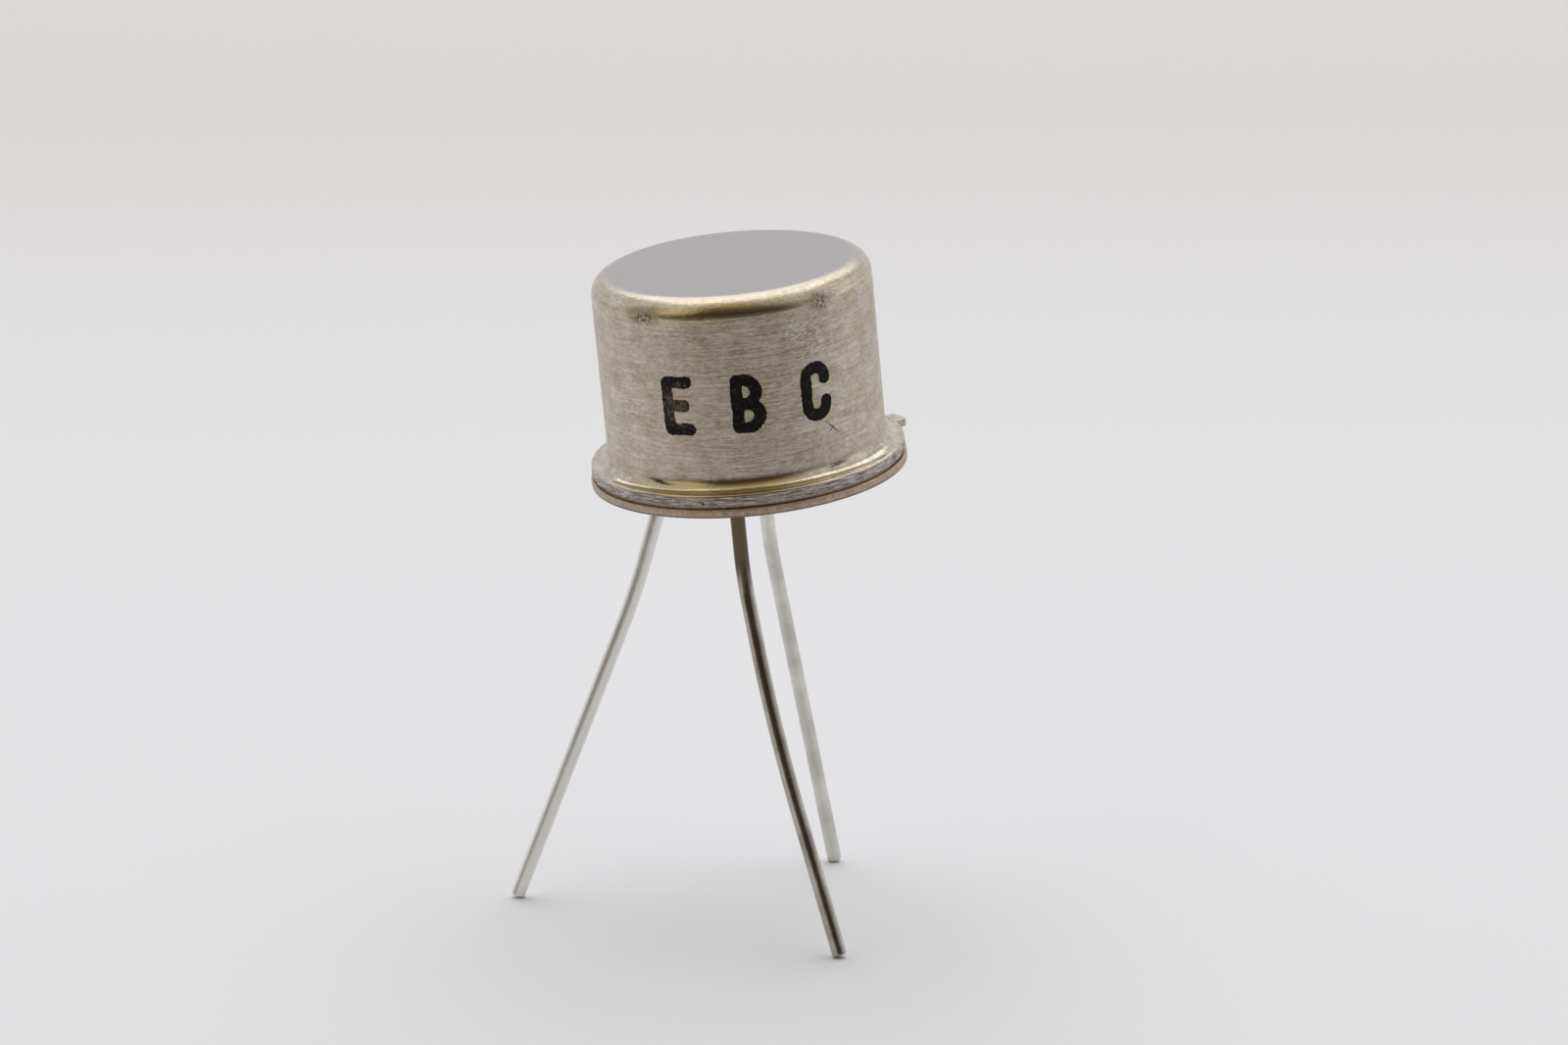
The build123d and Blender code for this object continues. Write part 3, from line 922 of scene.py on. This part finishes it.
def white_paper():
    """Matt white paper. It gives an even pale ground, with painted shade that turns it greyer further
    off.
    """
    material, tree = new_material("white_paper")
    place = add_node(tree, "ShaderNodeTexCoord").outputs["Object"]
    depth = add_node(tree, "ShaderNodeSeparateXYZ", {"Vector": place}).outputs["Y"]
    # Further off the paper is painted greyer, as shade
    distance = {"Value": depth, "From Min": paper_white_y, "From Max": paper_grey_y}
    painted_far_shade = add_node(tree, "ShaderNodeMapRange", distance)
    colour = tinted(tree, linear("#ECEDF1"), (painted_far_shade, "#DCDAD9"))
    end_material(tree, {"Base Color": colour, "Roughness": 0.9})
    return material


def level_sheet(name, material, middle, reach):
    """A level face in metres, from its middle and how far it reaches sideways and to the front."""
    x, y, z = middle
    left, right, front, back = x - reach[0], x + reach[0], y - reach[1], y + reach[1]
    mesh = bpy.data.meshes.new(name)
    corners = [(left, front, z), (right, front, z), (right, back, z), (left, back, z)]
    mesh.from_pydata(corners, [], [(0, 1, 2, 3)])
    mesh.materials.append(material)
    return placed(name, mesh)


floor = level_sheet("paper_floor", white_paper(), (0, 0, 0), (floor_half, floor_half))

# The studio is plain and pale all round, for the camera and for the metal alike
world = bpy.data.worlds.new("studio")
world.use_nodes = True
world.node_tree.nodes.clear()
studio_light = {"Color": linear("#E2E2E4"), "Strength": 1.0}
sky = add_node(world.node_tree, "ShaderNodeBackground", studio_light)
add_node(world.node_tree, "ShaderNodeOutputWorld", {"Surface": sky})
bpy.context.scene.world = world

# In front of the object is a brown room, darkest a little above eye level and paler towards its
# ceiling. It is drawn on a wide dome, hidden from the camera, and the dome is clear where the room
# ends, so that the pale studio shows there.
room_turn = radians(8)
room_narrowing = -0.65
lamp_turn = radians(61)
lamp_height = radians(30)
lamp_way = (-sin(lamp_turn) * cos(lamp_height), -cos(lamp_turn) * cos(lamp_height), sin(lamp_height))
lamp_edge = cos(radians(25))
lamp_core = cos(radians(12))
flag_aside = cos(radians(80))
flag_half = 0.11
flag_top = sin(radians(38))
dome_radius = 2.0
dome_back = 0.2 * dome_radius
dome_foot = -0.1 * dome_radius


def end_glow(tree, colour, shown):
    """Ends a stage material that glows where it is shown and is clear where it isn't."""
    clear = add_node(tree, "ShaderNodeBsdfTransparent")
    glow = add_node(tree, "ShaderNodeEmission", {"Color": colour, "Strength": 1.0})
    shader = add_node(tree, "ShaderNodeMixShader", {0: shown, 1: clear, 2: glow})
    add_node(tree, "ShaderNodeOutputMaterial", {"Surface": shader})


def brown_room():
    """A dim brown room. It gives the metal dark warm reflections and one golden highlight."""
    material, tree = new_material("brown_room")
    place = add_node(tree, "ShaderNodeTexCoord").outputs["Object"]
    way = add_node(tree, "ShaderNodeVectorMath", {0: place}, operation="NORMALIZE")
    height = add_node(tree, "ShaderNodeSeparateXYZ", {"Vector": way}).outputs["Z"]
    room = add_node(tree, "ShaderNodeValToRGB", {"Fac": height})
    set_stops(room.color_ramp, "#4E4233", (0.20, "#3E352B"), (0.50, "#584C3B"), (0.68, "#75664B"),
              (0.82, "#8E7B50"), (0.92, "#BAA46A"), (0.97, "#DCD3C0"), (1.0, "#E2E2E4"))

    # It fades out at both sides, and spans less of the horizon higher up
    level = add_node(tree, "ShaderNodeVectorMath", {0: way, 1: (1, 1, 0)}, operation="MULTIPLY")
    heading = add_node(tree, "ShaderNodeVectorMath", {0: level}, operation="NORMALIZE")
    to_room = {0: heading, 1: (-sin(room_turn), -cos(room_turn), 0)}
    facing = add_node(tree, "ShaderNodeVectorMath", to_room, operation="DOT_PRODUCT").outputs["Value"]
    narrowing = {0: height, 1: room_narrowing, 2: facing}
    narrowed = add_node(tree, "ShaderNodeMath", narrowing, operation="MULTIPLY_ADD")
    sides = {"Value": narrowed, "From Min": -0.05, "From Max": 0.50}
    in_room = add_node(tree, "ShaderNodeMapRange", sides)

    # A low golden lamp stands in the room at the left
    to_lamp = {0: way, 1: lamp_way}
    near_lamp = add_node(tree, "ShaderNodeVectorMath", to_lamp, operation="DOT_PRODUCT").outputs["Value"]
    spread = {"Value": near_lamp, "From Min": lamp_edge, "From Max": lamp_core}
    lamplight = add_node(tree, "ShaderNodeMapRange", spread, interpolation_type="SMOOTHSTEP")

    # Two narrow black flags stand at the left and right, and the metal mirrors them as dark patches
    to_front = {0: heading, 1: (0, -1, 0)}
    front = add_node(tree, "ShaderNodeVectorMath", to_front, operation="DOT_PRODUCT").outputs["Value"]
    aside = add_node(tree, "ShaderNodeMath", {0: front, 1: flag_aside, 2: flag_half}, operation="COMPARE")
    below = add_node(tree, "ShaderNodeMath", {0: height, 1: flag_top}, operation="LESS_THAN")
    on_flag = add_node(tree, "ShaderNodeMath", {0: aside, 1: below}, operation="MULTIPLY")
    colour = tinted(tree, room, (lamplight, "#EFE0B8"), (on_flag, "#2C2C2E"))
    covered = add_node(tree, "ShaderNodeMath", {0: in_room, 1: on_flag}, operation="MAXIMUM")
    end_glow(tree, colour, covered)
    return material


# The dome isn't sampled as a lamp, which saves time and leaves the colours as they are
room_finish = brown_room()
room_finish.cycles.emission_sampling = "NONE"
dome_mesh = bpy.data.meshes.new("brown_room")
dome = bmesh.new()
bmesh.ops.create_uvsphere(dome, u_segments=48, v_segments=24, radius=dome_radius)
outside = [vertex for vertex in dome.verts if vertex.co.y > dome_back or vertex.co.z < dome_foot]
bmesh.ops.delete(dome, geom=outside, context="VERTS")
dome.to_mesh(dome_mesh)
dome.free()
dome_mesh.materials.append(room_finish)
room_dome = placed("brown_room", dome_mesh)
room_dome.visible_camera = False

# A brown table top lies over the paper in front of the object, nearer than the photograph's lower
# edge. It is a soft oval, hidden from the camera, and darkens what the wall, the rounds and the
# leads mirror.
table_middle = (-0.05, -0.26, 0.0005)
table_reach = (0.36, 0.225)


def brown_table():
    """A dim brown table top. It gives the metal dark warm reflections from below."""
    material, tree = new_material("brown_table")
    place = add_node(tree, "ShaderNodeTexCoord").outputs["Object"]
    shares = (1 / table_reach[0], 1 / table_reach[1], 0)
    reach = reach_from(tree, place, table_middle, shares)
    fade = {"Value": reach, "From Min": 1.0, "From Max": 0.76}
    shown = add_node(tree, "ShaderNodeMapRange", fade, interpolation_type="SMOOTHSTEP")
    end_glow(tree, linear("#62553F"), shown)
    return material


table = level_sheet("brown_table", brown_table(), table_middle, table_reach)
table.visible_camera = False
table.visible_shadow = False
table.visible_diffuse = False

# A wide soft box lights the object from above and behind, and a weak small one from the right
lamps = {
    "rear_softbox": {"at": (0.0, 0.26, 0.50), "size": 0.62, "watts": 1.30},
    "right_softbox": {"at": (0.45, 0.10, 0.20), "size": 0.35, "watts": 0.08},
}
for name, lamp in lamps.items():
    light = bpy.data.lights.new(name, "AREA")
    light.size = lamp["size"]
    light.energy = lamp["watts"]
    softbox = placed(name, light)
    softbox.location = lamp["at"]
    softbox.rotation_euler = (seat - Vector(lamp["at"])).to_track_quat("-Z", "Y").to_euler()

# The camera looks down 15 degrees at the can from 150 mm. A pixel of the photograph is 1/5235 of
# that distance across.
camera_pitch = radians(15)
camera_back = 150
right_of_seat = 1.003
above_seat = -1.570
image_width = 1600
focal_pixels = 5235
sensor_width = 36
camera_up = Vector((0, sin(camera_pitch), cos(camera_pitch)))
camera_toward = Vector((0, -cos(camera_pitch), sin(camera_pitch)))
lens = bpy.data.cameras.new("camera")
lens.sensor_width = sensor_width
lens.lens = sensor_width * focal_pixels / image_width
lens.clip_start = 0.01
lens.clip_end = 10
camera = placed("camera", lens)
offset = Vector((right_of_seat, 0, 0)) + camera_up * above_seat + camera_toward * camera_back
camera.location = seat + offset * mm
camera.rotation_euler = (radians(90) - camera_pitch, 0, 0)
bpy.context.scene.camera = camera
bpy.context.scene.view_settings.view_transform = "Standard"
